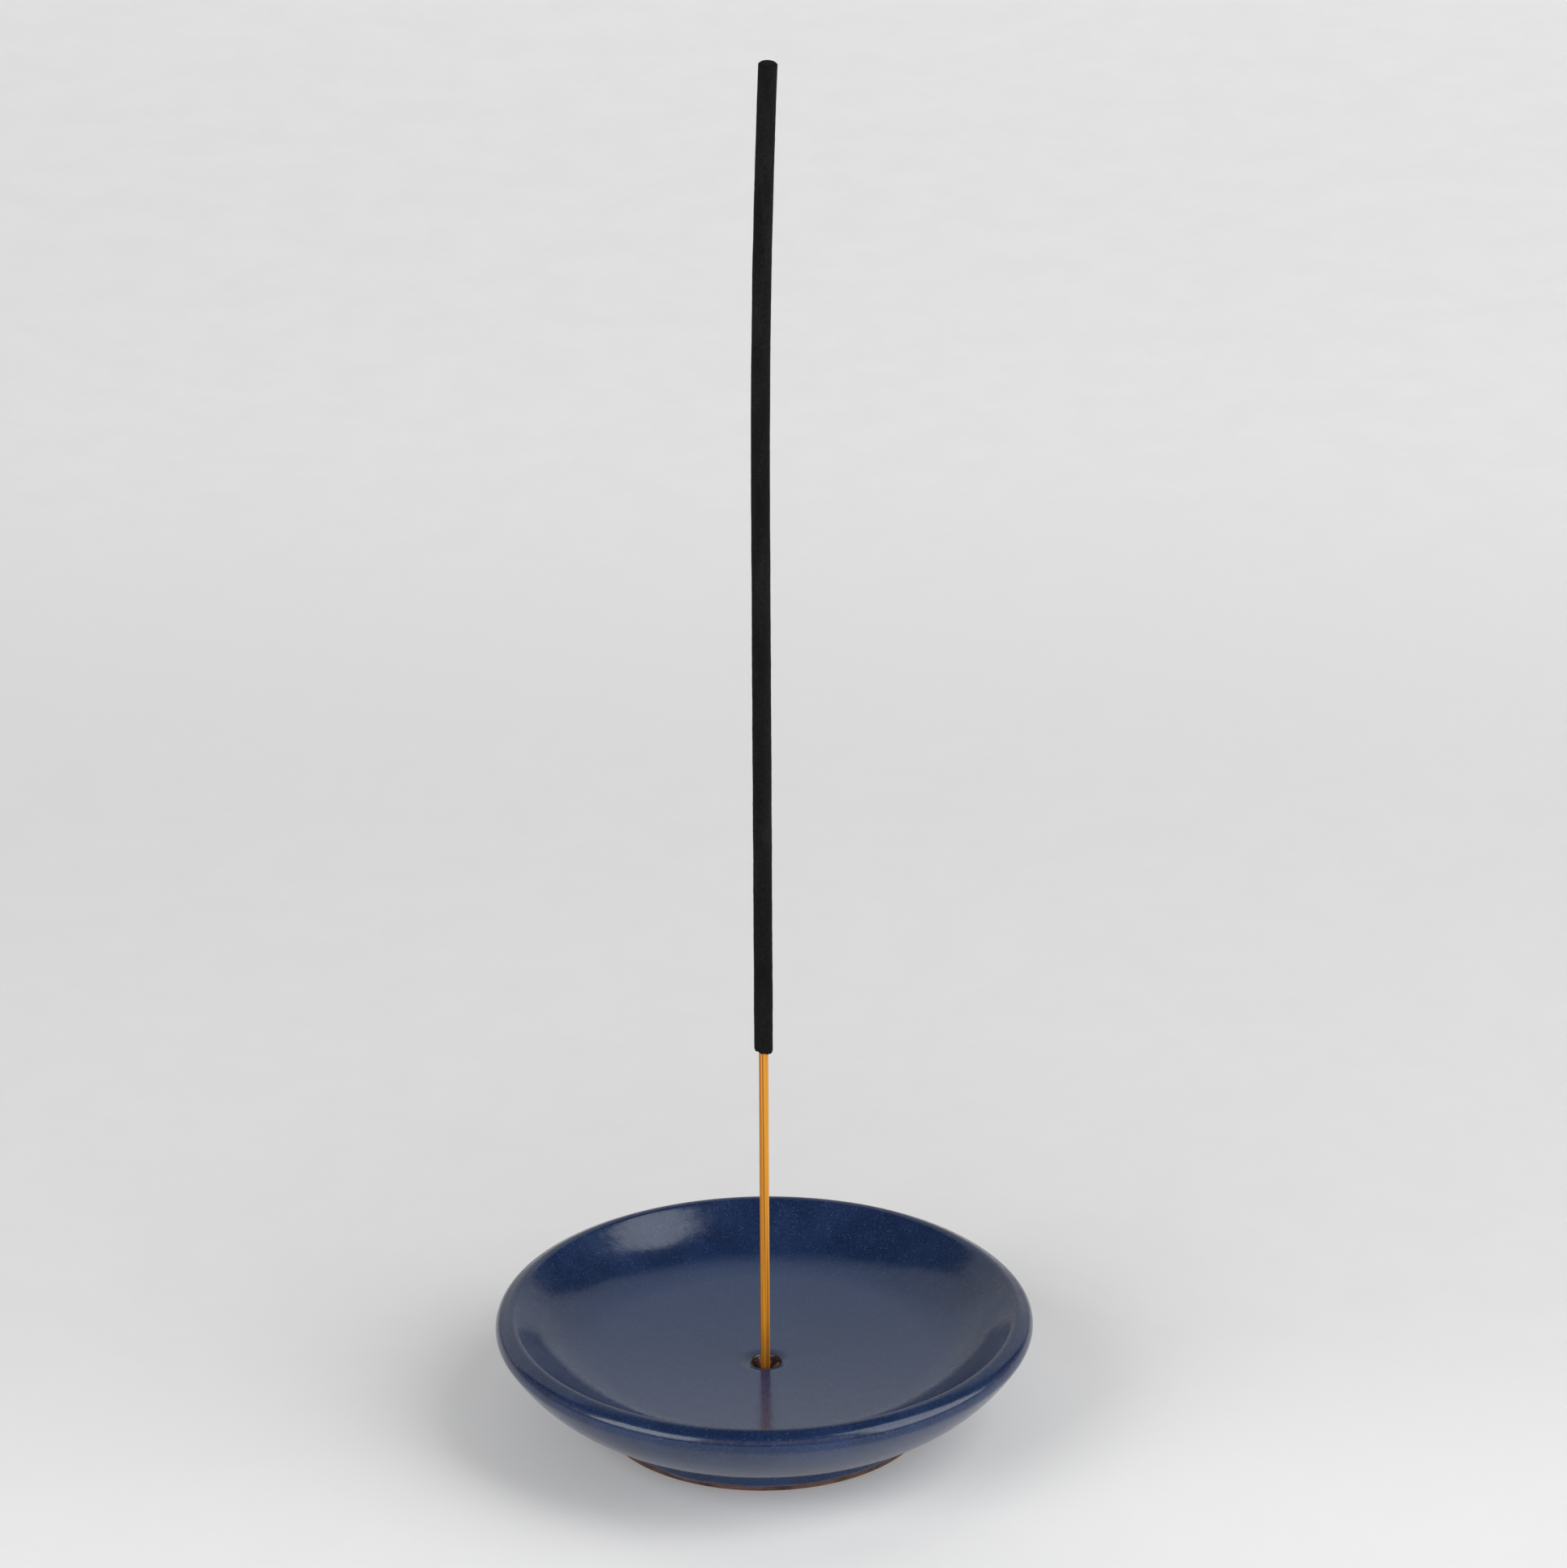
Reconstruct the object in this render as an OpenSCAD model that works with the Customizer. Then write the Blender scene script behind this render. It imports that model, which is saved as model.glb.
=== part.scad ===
// Incense burner: a thrown stoneware dish with a trimmed foot ring and a pierced
// hole at its centre, glazed all over except the foot, and a coated incense stick
// that stands in the hole and lifts straight out of it.
// Millimetres, +Z up. The origin is on the dish's axis, on the surface it stands on.

/* [Dish] */
// Outer diameter of the dish at its lip
dish_d = 102; // [90:1:130]
// Height of the lip's top above the table
rim_h = 22.1; // [20.5:0.1:27]
// Height of the glazed floor at the hole
floor_h = 11.7; // [10.5:0.1:12.5]
// Radius of the floor's gentle hollow
floor_r = 300; // [220:10:600]
// Steepest slope of the inside wall, in degrees
wall_slope = 40; // [34:1:44]
// Radius of the curve from the floor into the wall
wall_r = 22; // [16:1:24]
// Width of the lip from its outer edge to its highest ring
lip_w = 2.9; // [2.6:0.1:4]
// Outward fall of the lip's top face, in degrees
lip_fall = 27; // [15:1:35]
// Radius of the lip's inner edge
lip_in_r = 1.4; // [1:0.1:2.2]
// Radius of the lip's outer edge
lip_out_r = 2.3; // [1.5:0.1:3]
// Slope of the outside wall where it leaves the lip, in degrees
flank_slope = 58; // [50:1:62]

/* [Foot] */
// Outer diameter of the foot ring on the table
foot_d = 62.4; // [54:0.2:66]
// Height of the foot ring
foot_h = 4.3; // [3.5:0.1:5.5]
// Outward lean of the foot ring's side over its height
foot_flare = 1.7; // [1:0.1:3]
// Width of the foot ring where it bears on the table
foot_w = 5; // [3.5:0.1:8]
// Rounding of the foot ring's two edges
foot_round = 0.5; // [0.2:0.1:0.8]
// Height of the hollow turned out under the dish
recess_h = 3.4; // [2.6:0.1:3.8]

/* [Glaze] */
// Thickness of the glaze coat
glaze_t = 0.4; // [0.3:0.05:0.6]
// Height of bare clay left above the table
bare_h = 1; // [0.8:0.1:2.5]

/* [Hole] */
// Diameter of the hole's mouth in the glazed floor
mouth_d = 5.7; // [4.5:0.1:7]
// Depth of the tapered mouth
mouth_depth = 2.2; // [1.5:0.1:3]
// Depth of the hole below the floor
hole_depth = 6; // [4.5:0.1:6]
// Free gap around the stick in the straight part of the hole
stick_gap = 0.3; // [0.2:0.05:0.5]
// Gap under the end of the stick
seat_gap = 0.1; // [0.05:0.05:0.3]

/* [Stick] */
// Overall length of the stick
stick_len = 271; // [220:1:300]
// Diameter of the bamboo core
core_d = 1.8; // [1.5:0.1:2.4]
// Length of the incense coat
coat_len = 200; // [150:1:210]
// Diameter of the incense coat
coat_d = 3.6; // [3:0.1:4.5]
// Height by which the coat covers the top of the core
coat_cap = 0.8; // [0.4:0.1:1.5]
// Bevel at the stick's upper end
tip_bevel = 0.35; // [0.1:0.05:0.5]
// Lean of the stick in its hole, in degrees
lean = 0.2; // [0:0.05:0.4]
// Length of the coat's upper end that is bowed
bow_len = 87; // [60:1:120]
// Sideways bow at the upper end
bow = 1.8; // [0.6:0.1:4]

/* [Hidden] */
$fn = 96;
// Furthest that a profile's straight steps lie from its true curves
arc_tol = 0.02;

// A point at angle a on a circle of radius r about centre c
function on_arc(c, r, a) = [c[0] + r * cos(a), c[1] + r * sin(a)];
// Points along a circle from angle a0 to angle a1, both included, within arc_tol of it
function arc(c, r, a0, a1) =
    let (n = max(2, ceil(abs(a1 - a0) / (2 * acos(1 - arc_tol / r)))))
    [for (i = [0:n]) on_arc(c, r, a0 + (a1 - a0) * i / n)];
// A list without its first item
function rest(v) = [for (i = [1:len(v) - 1]) v[i]];
// Points of a profile that lie above a height, with the crossing first
function above(v, h) =
    let (k = [for (i = [0:len(v) - 2]) if (v[i][1] < h && v[i + 1][1] >= h) i][0],
         t = (h - v[k][1]) / (v[k + 1][1] - v[k][1]))
    concat([v[k] + t * (v[k + 1] - v[k])], [for (i = [k + 1:len(v) - 1]) v[i]]);
// Points of a profile that lie below a height, with the crossing last
function below(v, h) =
    let (k = [for (i = [0:len(v) - 2]) if (v[i][1] < h && v[i + 1][1] >= h) i][0],
         t = (h - v[k][1]) / (v[k + 1][1] - v[k][1]))
    concat([for (i = [0:k]) v[i]], [v[k] + t * (v[k + 1] - v[k])]);

// Lip: a tight inner edge and a rounder outer one, with a face between them that falls
// outwards and touches both
fall_n = [sin(lip_fall), cos(lip_fall)];
lip_in_c = [dish_d / 2 - lip_w, rim_h - lip_in_r];
lip_out_x = dish_d / 2 - lip_out_r;
lip_out_c = [lip_out_x,
             (lip_in_c * fall_n + lip_in_r - lip_out_r - lip_out_x * fall_n[0]) / fall_n[1]];

// Inside wall: from the lip's inner edge down a short straight run to the floor curve
wall_top = on_arc(lip_in_c, lip_in_r, 90 + wall_slope);
floor_c = [0, floor_h + floor_r];
// The floor curve sits inside the floor's hollow and touches the straight run
wall_n = [-sin(wall_slope), cos(wall_slope)];
run_d = wall_top * wall_n + wall_r;
floor_off = floor_c * wall_n - run_d;
run_u = [cos(wall_slope), sin(wall_slope)];
wall_c = floor_c - floor_off * wall_n
    - run_u * sqrt(pow(floor_r - wall_r, 2) - pow(floor_off, 2));
join_a = atan2(wall_c[1] - floor_c[1], wall_c[0] - floor_c[0]);

// Outside wall: one arc from the lip's edge down to the top of the foot ring
flank_a = flank_slope - 90;
flank_top = on_arc(lip_out_c, lip_out_r, flank_a);
foot_top = [foot_d / 2 + foot_flare, foot_h];
chord = flank_top - foot_top;
chord_l = norm(chord);
chord_a = atan2(chord[1], chord[0]);
flank_half = flank_slope - chord_a;
flank_r = chord_l / (2 * sin(flank_half));
flank_c = flank_top - flank_r * [cos(flank_a), sin(flank_a)];
foot_lean = atan2(foot_flare, foot_h);

hole_mouth_r = mouth_d / 2;
bore_r = core_d / 2 + stick_gap;
bore_bottom = floor_h - hole_depth;

// Half outline of the dish from the foot's outer edge, over the lip, to the hole's
// mouth. g is how far the outline lies under the finished surface.
function skin(g) =
    let (mouth_a = -90 + asin(hole_mouth_r / (floor_r + g)))
    concat(
        arc([foot_d / 2 - g - foot_round, foot_round], foot_round, -90, -foot_lean),
        arc(flank_c, flank_r - g, flank_a - 2 * flank_half, flank_a),
        rest(arc(lip_out_c, lip_out_r - g, flank_a, 90 - lip_fall)),
        arc(lip_in_c, lip_in_r - g, 90 - lip_fall, 90 + wall_slope),
        arc(wall_c, wall_r + g, wall_slope - 90, join_a),
        rest(arc(floor_c, floor_r + g, join_a, mouth_a)));

stick_z = bore_bottom + seat_gap;
coat_low = stick_len - coat_len;
straight_len = stick_len - bow_len;
bow_r = (bow_len * bow_len + bow * bow) / (2 * bow);
bow_a = asin(bow_len / bow_r);
core_a = bow_a * (bow_len - coat_cap) / bow_len;

// Places the stick, drawn from z = 0 upwards, in the hole
module in_hole() {
    translate([0, 0, stick_z])
        rotate([0, lean, 0])
            children();
}

// A section swept up the stick's bowed end, from its start to angle a
module bowed(a) {
    translate([bow_r, 0, straight_len])
        rotate([-90, 0, 0])
            rotate_extrude(angle = a, start = 180, $fn = 1440)
                translate([bow_r, 0])
                    children();
}

// Places what is drawn at the end of the bow, up along the stick
module at_tip() {
    translate([bow_r * (1 - cos(bow_a)), 0, straight_len + bow_r * sin(bow_a)])
        rotate([0, bow_a, 0])
            children();
}

// Ring that cuts the bevel around the stick's upper end, which lies at z = 0
module tip_cut() {
    over = 1;
    rotate_extrude()
        polygon([[coat_d / 2 - tip_bevel, 0],
                 [coat_d / 2 - tip_bevel, over],
                 [coat_d / 2 + over, over],
                 [coat_d / 2 + over, -tip_bevel - over]]);
}

// Fired clay: everything under the glaze, the bare foot and the hole
module dish_clay() {
    color([0.46, 0.30, 0.24])
        rotate_extrude()
            polygon(concat(
                below(skin(0), bare_h),
                above(skin(glaze_t), bare_h),
                [[bore_r, floor_h - mouth_depth],
                 [bore_r, bore_bottom],
                 [0, bore_bottom],
                 [0, recess_h]],
                [[foot_d / 2 - foot_w - 1.5, recess_h],
                 [foot_d / 2 - foot_w, recess_h - 1.5],
                 [foot_d / 2 - foot_w, foot_round],
                 [foot_d / 2 - foot_w + foot_round, 0]]));
}

// Navy glaze: a skin from the bare line over the lip to the hole's mouth
module glaze_coat() {
    outer = above(skin(0), bare_h);
    inner = above(skin(glaze_t), bare_h);
    color([0.11, 0.16, 0.30])
        rotate_extrude()
            polygon(concat(outer, [for (i = [len(inner) - 1:-1:0]) inner[i]]));
}

// Bamboo core: straight from the hole, then bowed inside the coat's upper end
module bamboo_core() {
    color([0.78, 0.52, 0.19])
        in_hole() {
            cylinder(d = core_d, h = straight_len);
            bowed(core_a)
                circle(d = core_d);
        }
}

// Incense coat: charcoal paste around the core, closed over the core's top
module incense_coat() {
    color([0.09, 0.09, 0.09])
        in_hole()
            difference() {
                union() {
                    translate([0, 0, coat_low])
                        cylinder(d = coat_d, h = straight_len - coat_low);
                    bowed(bow_a)
                        circle(d = coat_d);
                }
                translate([0, 0, coat_low - 1])
                    cylinder(d = core_d, h = straight_len - coat_low + 1);
                bowed(core_a)
                    circle(d = core_d);
                at_tip()
                    tip_cut();
            }
}

dish_clay();
glaze_coat();
bamboo_core();
incense_coat();
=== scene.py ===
"""Looks of a glazed stoneware incense dish and its coated stick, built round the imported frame."""
import logging
import math
from dataclasses import dataclass, field
from enum import Enum

import bmesh
import bpy
from mathutils import Matrix, Vector, noise


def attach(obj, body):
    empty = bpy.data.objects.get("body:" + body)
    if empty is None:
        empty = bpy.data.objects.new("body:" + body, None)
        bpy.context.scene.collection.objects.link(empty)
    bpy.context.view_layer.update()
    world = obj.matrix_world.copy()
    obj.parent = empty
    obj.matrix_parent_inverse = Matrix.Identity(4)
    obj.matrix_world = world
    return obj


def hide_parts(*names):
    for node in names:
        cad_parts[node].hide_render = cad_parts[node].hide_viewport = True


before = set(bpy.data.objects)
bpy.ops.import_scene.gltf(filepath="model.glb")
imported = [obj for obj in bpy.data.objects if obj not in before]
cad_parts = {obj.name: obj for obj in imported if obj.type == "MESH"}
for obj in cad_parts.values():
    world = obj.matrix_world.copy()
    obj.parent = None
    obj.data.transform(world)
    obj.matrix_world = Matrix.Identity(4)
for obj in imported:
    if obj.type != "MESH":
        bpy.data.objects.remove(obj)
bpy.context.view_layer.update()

MM = 0.001
LOG = logging.getLogger("incense_dish")

Colour = tuple[float, float, float]
Point = tuple[float, float]
Value = bpy.types.NodeSocket | Colour | float


class Body(Enum):
    """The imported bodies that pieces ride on."""

    DISH = "dish"
    STICK = "stick"


class Slot(Enum):
    """The record's material slots."""

    CLAY = "bare_clay"
    GLAZE = "navy_glaze"
    BAMBOO = "bamboo"
    PASTE = "incense_paste"


# ---------------------------------------------------------------- node building


class NodeGraph:
    """A material's node tree, with short calls for the nodes that the finishes share."""

    def __init__(self, name: str) -> None:
        """Starts a material with one Principled shader.

        Args:
            name: the material's name.
        """
        self.material = bpy.data.materials.new(name)
        self.material.use_nodes = True
        self.tree = self.material.node_tree
        self.shader = self.tree.nodes["Principled BSDF"]
        coords = self.tree.nodes.new("ShaderNodeTexCoord")
        self.place = coords.outputs["Object"]

    def link(self, source: bpy.types.NodeSocket, target: bpy.types.NodeSocket) -> None:
        """Joins two sockets.

        Args:
            source: the output that gives the value.
            target: the input that takes it.
        """
        self.tree.links.new(source, target)

    def put(self, target: bpy.types.NodeSocket, value: Value) -> None:
        """Gives an input a value, from a socket or as a constant.

        Args:
            target: the input.
            value: an output socket, a number or a colour.
        """
        if isinstance(value, bpy.types.NodeSocket):
            self.link(value, target)
        elif isinstance(value, tuple) and len(value) == 3 and target.type == "RGBA":
            target.default_value = (*value, 1.0)
        else:
            target.default_value = value

    def stretch(self, scale: tuple[float, float, float]) -> bpy.types.NodeSocket:
        """Object coordinates scaled along each axis.

        Args:
            scale: the factor on X, Y and Z.

        Returns:
            The scaled coordinates.
        """
        node = self.tree.nodes.new("ShaderNodeMapping")
        self.link(self.place, node.inputs["Vector"])
        node.inputs["Scale"].default_value = scale
        return node.outputs["Vector"]

    def noise(self, size_mm: float, detail: float = 2.0, rough: float = 0.5,
              place: bpy.types.NodeSocket | None = None, warp: float = 0.0) -> bpy.types.NodeSocket:
        """Fractal noise.

        Args:
            size_mm: the width of its largest features, in millimetres.
            detail: how many octaves it has.
            rough: how strong the finer octaves are.
            place: coordinates in place of the object's own.
            warp: how far it is distorted.

        Returns:
            The noise, from 0 to 1.
        """
        node = self.tree.nodes.new("ShaderNodeTexNoise")
        self.link(place or self.place, node.inputs["Vector"])
        node.inputs["Scale"].default_value = 1 / (size_mm * MM)
        node.inputs["Detail"].default_value = detail
        node.inputs["Roughness"].default_value = rough
        node.inputs["Distortion"].default_value = warp
        return node.outputs["Fac"]

    def cells(self, size_mm: float) -> bpy.types.NodeSocket:
        """Distance to the nearest of scattered points.

        Args:
            size_mm: the points' spacing, in millimetres.

        Returns:
            The distance, in shares of the spacing.
        """
        node = self.tree.nodes.new("ShaderNodeTexVoronoi")
        self.link(self.place, node.inputs["Vector"])
        node.inputs["Scale"].default_value = 1 / (size_mm * MM)
        return node.outputs["Distance"]

    def attribute(self, name: str) -> bpy.types.NodeSocket:
        """A number stored on the mesh.

        Args:
            name: the attribute's name.

        Returns:
            Its value.
        """
        node = self.tree.nodes.new("ShaderNodeAttribute")
        node.attribute_name = name
        return node.outputs["Fac"]

    def ramp(self, value: Value, low: float, high: float,
             bottom: float = 0.0, top: float = 1.0) -> bpy.types.NodeSocket:
        """Maps a range of values smoothly onto another and holds it there.

        Args:
            value: the input.
            low: the input that gives bottom.
            high: the input that gives top.
            bottom: the lowest output.
            top: the highest output.

        Returns:
            The mapped value.
        """
        node = self.tree.nodes.new("ShaderNodeMapRange")
        node.interpolation_type = "SMOOTHSTEP"
        for slot, number in zip(range(1, 5), (low, high, bottom, top)):
            node.inputs[slot].default_value = number
        self.put(node.inputs["Value"], value)
        return node.outputs["Result"]

    def math(self, kind: str, a: Value, b: Value = 0.0) -> bpy.types.NodeSocket:
        """One sum on one or two values.

        Args:
            kind: Blender's name of the sum.
            a: the first value.
            b: the second value.

        Returns:
            The result.
        """
        node = self.tree.nodes.new("ShaderNodeMath")
        node.operation = kind
        self.put(node.inputs[0], a)
        self.put(node.inputs[1], b)
        return node.outputs[0]

    def mix(self, share: Value, a: Value, b: Value) -> bpy.types.NodeSocket:
        """Blends two colours.

        Args:
            share: how much of the second shows, from 0 to 1.
            a: the first colour.
            b: the second colour.

        Returns:
            The blended colour.
        """
        node = self.tree.nodes.new("ShaderNodeMix")
        node.data_type = "RGBA"
        self.put(node.inputs["Factor"], share)
        self.put(node.inputs[6], a)
        self.put(node.inputs[7], b)
        return node.outputs[2]

    def bump(self, height: Value, depth_mm: float,
             under: bpy.types.NodeSocket | None = None) -> bpy.types.NodeSocket:
        """Surface relief from a height.

        Args:
            height: the height, from 0 to 1.
            depth_mm: the relief of a full step, in millimetres.
            under: a normal that this one builds on.

        Returns:
            The new normal.
        """
        node = self.tree.nodes.new("ShaderNodeBump")
        node.inputs["Distance"].default_value = depth_mm * MM
        self.put(node.inputs["Height"], height)
        if under is not None:
            self.link(under, node.inputs["Normal"])
        return node.outputs["Normal"]

    def axis(self, name: str) -> bpy.types.NodeSocket:
        """One of the object's coordinates.

        Args:
            name: X, Y or Z.

        Returns:
            The coordinate, in metres.
        """
        node = self.tree.nodes.new("ShaderNodeSeparateXYZ")
        self.link(self.place, node.inputs[0])
        return node.outputs[name]

    def finish(self, colour: Value, rough: Value, normal: bpy.types.NodeSocket | None,
               specular: float = 0.5, tint: Colour = (1.0, 1.0, 1.0)) -> bpy.types.Material:
        """Sets the shader's main inputs.

        Args:
            colour: the base colour.
            rough: the roughness.
            normal: the relief, if there is any.
            specular: the shader's specular level.
            tint: the colour of the shader's gloss.

        Returns:
            The material.
        """
        inputs = self.shader.inputs
        self.put(inputs["Base Color"], colour)
        self.put(inputs["Roughness"], rough)
        if normal is not None:
            self.put(inputs["Normal"], normal)
        inputs["Specular IOR Level"].default_value = specular
        inputs["Specular Tint"].default_value = (*tint, 1.0)
        return self.material


# -------------------------------------------------------------------- finishes


@dataclass(frozen=True)
class NavyGlaze:
    """Glossy navy glaze, mottled, with fine pale specks, pinholes and thin pale edges."""

    deep: Colour = (0.0044, 0.0115, 0.0400)
    pale: Colour = (0.0105, 0.0240, 0.0680)
    thin: Colour = (0.085, 0.075, 0.080)
    speck: Colour = (0.062, 0.088, 0.160)
    chip: Colour = (0.22, 0.25, 0.30)
    # dark of the scorch ring round the mouth, which also paints shade on the mouth's far side
    pit: Colour = (0.004, 0.006, 0.012)
    scorch_and_shade: Colour = (0.012, 0.008, 0.008)
    milky: Colour = (0.0085, 0.0290, 0.0980)
    gloss: Colour = (0.91, 0.97, 1.0)

    def make(self) -> bpy.types.Material:
        """Builds the material.

        Returns:
            The glaze.
        """
        g = NodeGraph("navy_glaze")
        cloud = g.noise(9.0, 3.0, 0.55)
        grain = g.noise(0.42, 2.5, 0.65)
        tone = g.math("ADD", g.math("MULTIPLY", cloud, 0.45), g.math("MULTIPLY", grain, 0.55))
        colour = g.mix(g.ramp(tone, 0.36, 0.66), self.deep, self.pale)
        colour = g.mix(g.math("MULTIPLY", g.attribute("pool"), 0.75), colour, self.milky)
        dots = g.math("MULTIPLY", g.ramp(g.cells(0.6), 0.36, 0.12), g.ramp(g.noise(1.7), 0.36, 0.60))
        colour = g.mix(g.math("MULTIPLY", dots, 0.36), colour, self.speck)
        specks = g.math("MULTIPLY", g.ramp(g.cells(2.6), 0.060, 0.03), g.ramp(g.noise(4.2), 0.46, 0.56))
        colour = g.mix(g.math("MULTIPLY", specks, 0.12), colour, self.chip)
        pits = g.math("MULTIPLY", g.ramp(g.cells(4.6), 0.045, 0.025), g.ramp(g.noise(7.0), 0.50, 0.58))
        colour = g.mix(pits, colour, self.pit)
        edge = g.math("MULTIPLY", g.attribute("thin"), g.ramp(g.noise(1.6, 3.0, 0.6), 0.25, 0.65, 0.35))
        colour = g.mix(edge, colour, self.thin)
        # Scorch mark round the mouth, with painted shade added on its far side
        colour = g.mix(g.attribute("scorch_and_shade"), colour, self.scorch_and_shade)
        rough = g.ramp(g.noise(1.1, 3.0, 0.6), 0.3, 0.7, 0.13, 0.21)
        relief = g.bump(g.noise(0.45, 2.0, 0.5), 0.009)
        relief = g.bump(g.noise(3.2, 1.5, 0.5), 0.030, relief)
        relief = g.bump(g.math("SUBTRACT", 1.0, pits), 0.05, relief)
        return g.finish(colour, rough, relief, tint=self.gloss)


@dataclass(frozen=True)
class BareClay:
    """Fired stoneware without glaze: reddish brown, toasted in patches, with fine grog."""

    body: Colour = (0.090, 0.048, 0.036)
    toast: Colour = (0.042, 0.021, 0.016)
    grog: Colour = (0.22, 0.15, 0.12)
    throat: Colour = (0.24, 0.110, 0.060)
    burnt: Colour = (0.030, 0.014, 0.010)

    def make(self) -> bpy.types.Material:
        """Builds the material.

        Returns:
            The bare clay.
        """
        g = NodeGraph("bare_clay")
        colour = g.mix(g.ramp(g.noise(4.0, 4.0, 0.6), 0.35, 0.65), self.body, self.toast)
        grog = g.math("MULTIPLY", g.ramp(g.cells(0.9), 0.22, 0.10), g.ramp(g.noise(1.5), 0.48, 0.58))
        colour = g.mix(g.math("MULTIPLY", grog, 0.5), colour, self.grog)
        inside = g.mix(g.ramp(g.noise(0.9, 3.0, 0.6), 0.50, 0.64), self.burnt, self.throat)
        colour = g.mix(g.attribute("throat"), colour, inside)
        relief = g.bump(g.noise(0.5, 4.0, 0.65), 0.05)
        relief = g.bump(g.math("SUBTRACT", 1.0, grog), 0.04, relief)
        return g.finish(colour, g.ramp(g.noise(2.0), 0.3, 0.7, 0.72, 0.88), relief, 0.3)


@dataclass(frozen=True)
class AmberBamboo:
    """Split bamboo stained amber, with fibres along the stick."""

    pale: Colour = (0.58, 0.33, 0.075)
    light: Colour = (0.45, 0.195, 0.018)
    amber: Colour = (0.36, 0.125, 0.008)
    vein: Colour = (0.15, 0.040, 0.003)

    def make(self) -> bpy.types.Material:
        """Builds the material.

        Returns:
            The bamboo.
        """
        g = NodeGraph("amber_bamboo")
        fibre = g.noise(0.30, 1.5, 0.6, g.stretch((1.0, 1.0, 0.0025)))
        strand = g.noise(0.44, 1.0, 0.5, g.stretch((1.0, 1.0, 0.0020)), 0.4)
        broad = g.noise(0.80, 2.0, 0.5, g.stretch((1.0, 1.0, 0.0100)))
        colour = g.mix(g.ramp(broad, 0.35, 0.65), self.amber, self.light)
        colour = g.mix(g.ramp(fibre, 0.52, 0.64, 0.0, 0.75), colour, self.vein)
        colour = g.mix(g.ramp(strand, 0.60, 0.70, 0.0, 0.65), colour, self.pale)
        relief = g.bump(fibre, 0.03)
        return g.finish(colour, g.ramp(fibre, 0.3, 0.7, 0.45, 0.6), relief, 0.25)


@dataclass(frozen=True)
class CharcoalPaste:
    """Dry charcoal paste: black, matte and finely granular."""

    black: Colour = (0.0018, 0.0017, 0.0018)
    dust: Colour = (0.0110, 0.0105, 0.0105)

    def make(self) -> bpy.types.Material:
        """Builds the material.

        Returns:
            The paste.
        """
        g = NodeGraph("charcoal_paste")
        grain = g.noise(0.28, 4.0, 0.7)
        patch = g.noise(5.0, 3.0, 0.6, g.stretch((1.0, 1.0, 0.35)))
        tone = g.math("ADD", g.math("MULTIPLY", grain, 0.6), g.math("MULTIPLY", patch, 0.4))
        colour = g.mix(g.ramp(tone, 0.42, 0.68), self.black, self.dust)
        relief = g.bump(grain, 0.11)
        relief = g.bump(g.noise(1.1, 3.0, 0.6), 0.12, relief)
        return g.finish(colour, g.ramp(patch, 0.3, 0.7, 0.82, 0.95), relief, 0.15)


@dataclass(frozen=True)
class PaleTable:
    """Matt pale table covering with a faint tooth; painted shade makes it greyer just behind the dish and
    painted light makes it paler further back.
    """

    # near is the table's own tone; the other two are painted shade behind the dish and painted light further
    # back
    near: Colour = (0.825, 0.825, 0.825)
    painted_shade_middle: Colour = (0.748, 0.748, 0.748)
    painted_light_far: Colour = (0.860, 0.860, 0.860)
    mottle: Colour = (0.790, 0.790, 0.790)

    def make(self) -> bpy.types.Material:
        """Builds the material.

        Returns:
            The table's finish.
        """
        g = NodeGraph("pale_table")
        # Painted shade: greyer from just behind the dish; then painted light: paler again far back, for the
        # lights' falloff
        colour = g.mix(g.ramp(g.axis("Y"), -0.06, 0.05), self.near, self.painted_shade_middle)
        colour = g.mix(g.ramp(g.axis("Y"), 0.25, 0.50), colour, self.painted_light_far)
        colour = g.mix(g.ramp(g.noise(14.0, 4.0, 0.6), 0.3, 0.7, 0.30, 0.0), colour, self.mottle)
        relief = g.bump(g.noise(2.5, 3.0, 0.6), 0.03)
        return g.finish(colour, 0.85, relief, 0.2)


# ------------------------------------------------------------------ mesh tools


@dataclass(frozen=True)
class Arc:
    """One arc of a half outline, in millimetres and degrees. Angles run from +R towards +Z.

    Its step is the longest edge that draws it.
    """

    centre: Point
    radius: float
    start: float
    end: float
    step: float = 0.9

    def at(self, angle: float) -> Point:
        """A point on the arc's circle.

        Args:
            angle: the angle, in degrees.

        Returns:
            Its radius from the axis and its height.
        """
        a = math.radians(angle)
        return (self.centre[0] + self.radius * math.cos(a), self.centre[1] + self.radius * math.sin(a))

    def back(self) -> "Arc":
        """The same arc drawn the other way."""
        return Arc(self.centre, self.radius, self.end, self.start, self.step)


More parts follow.
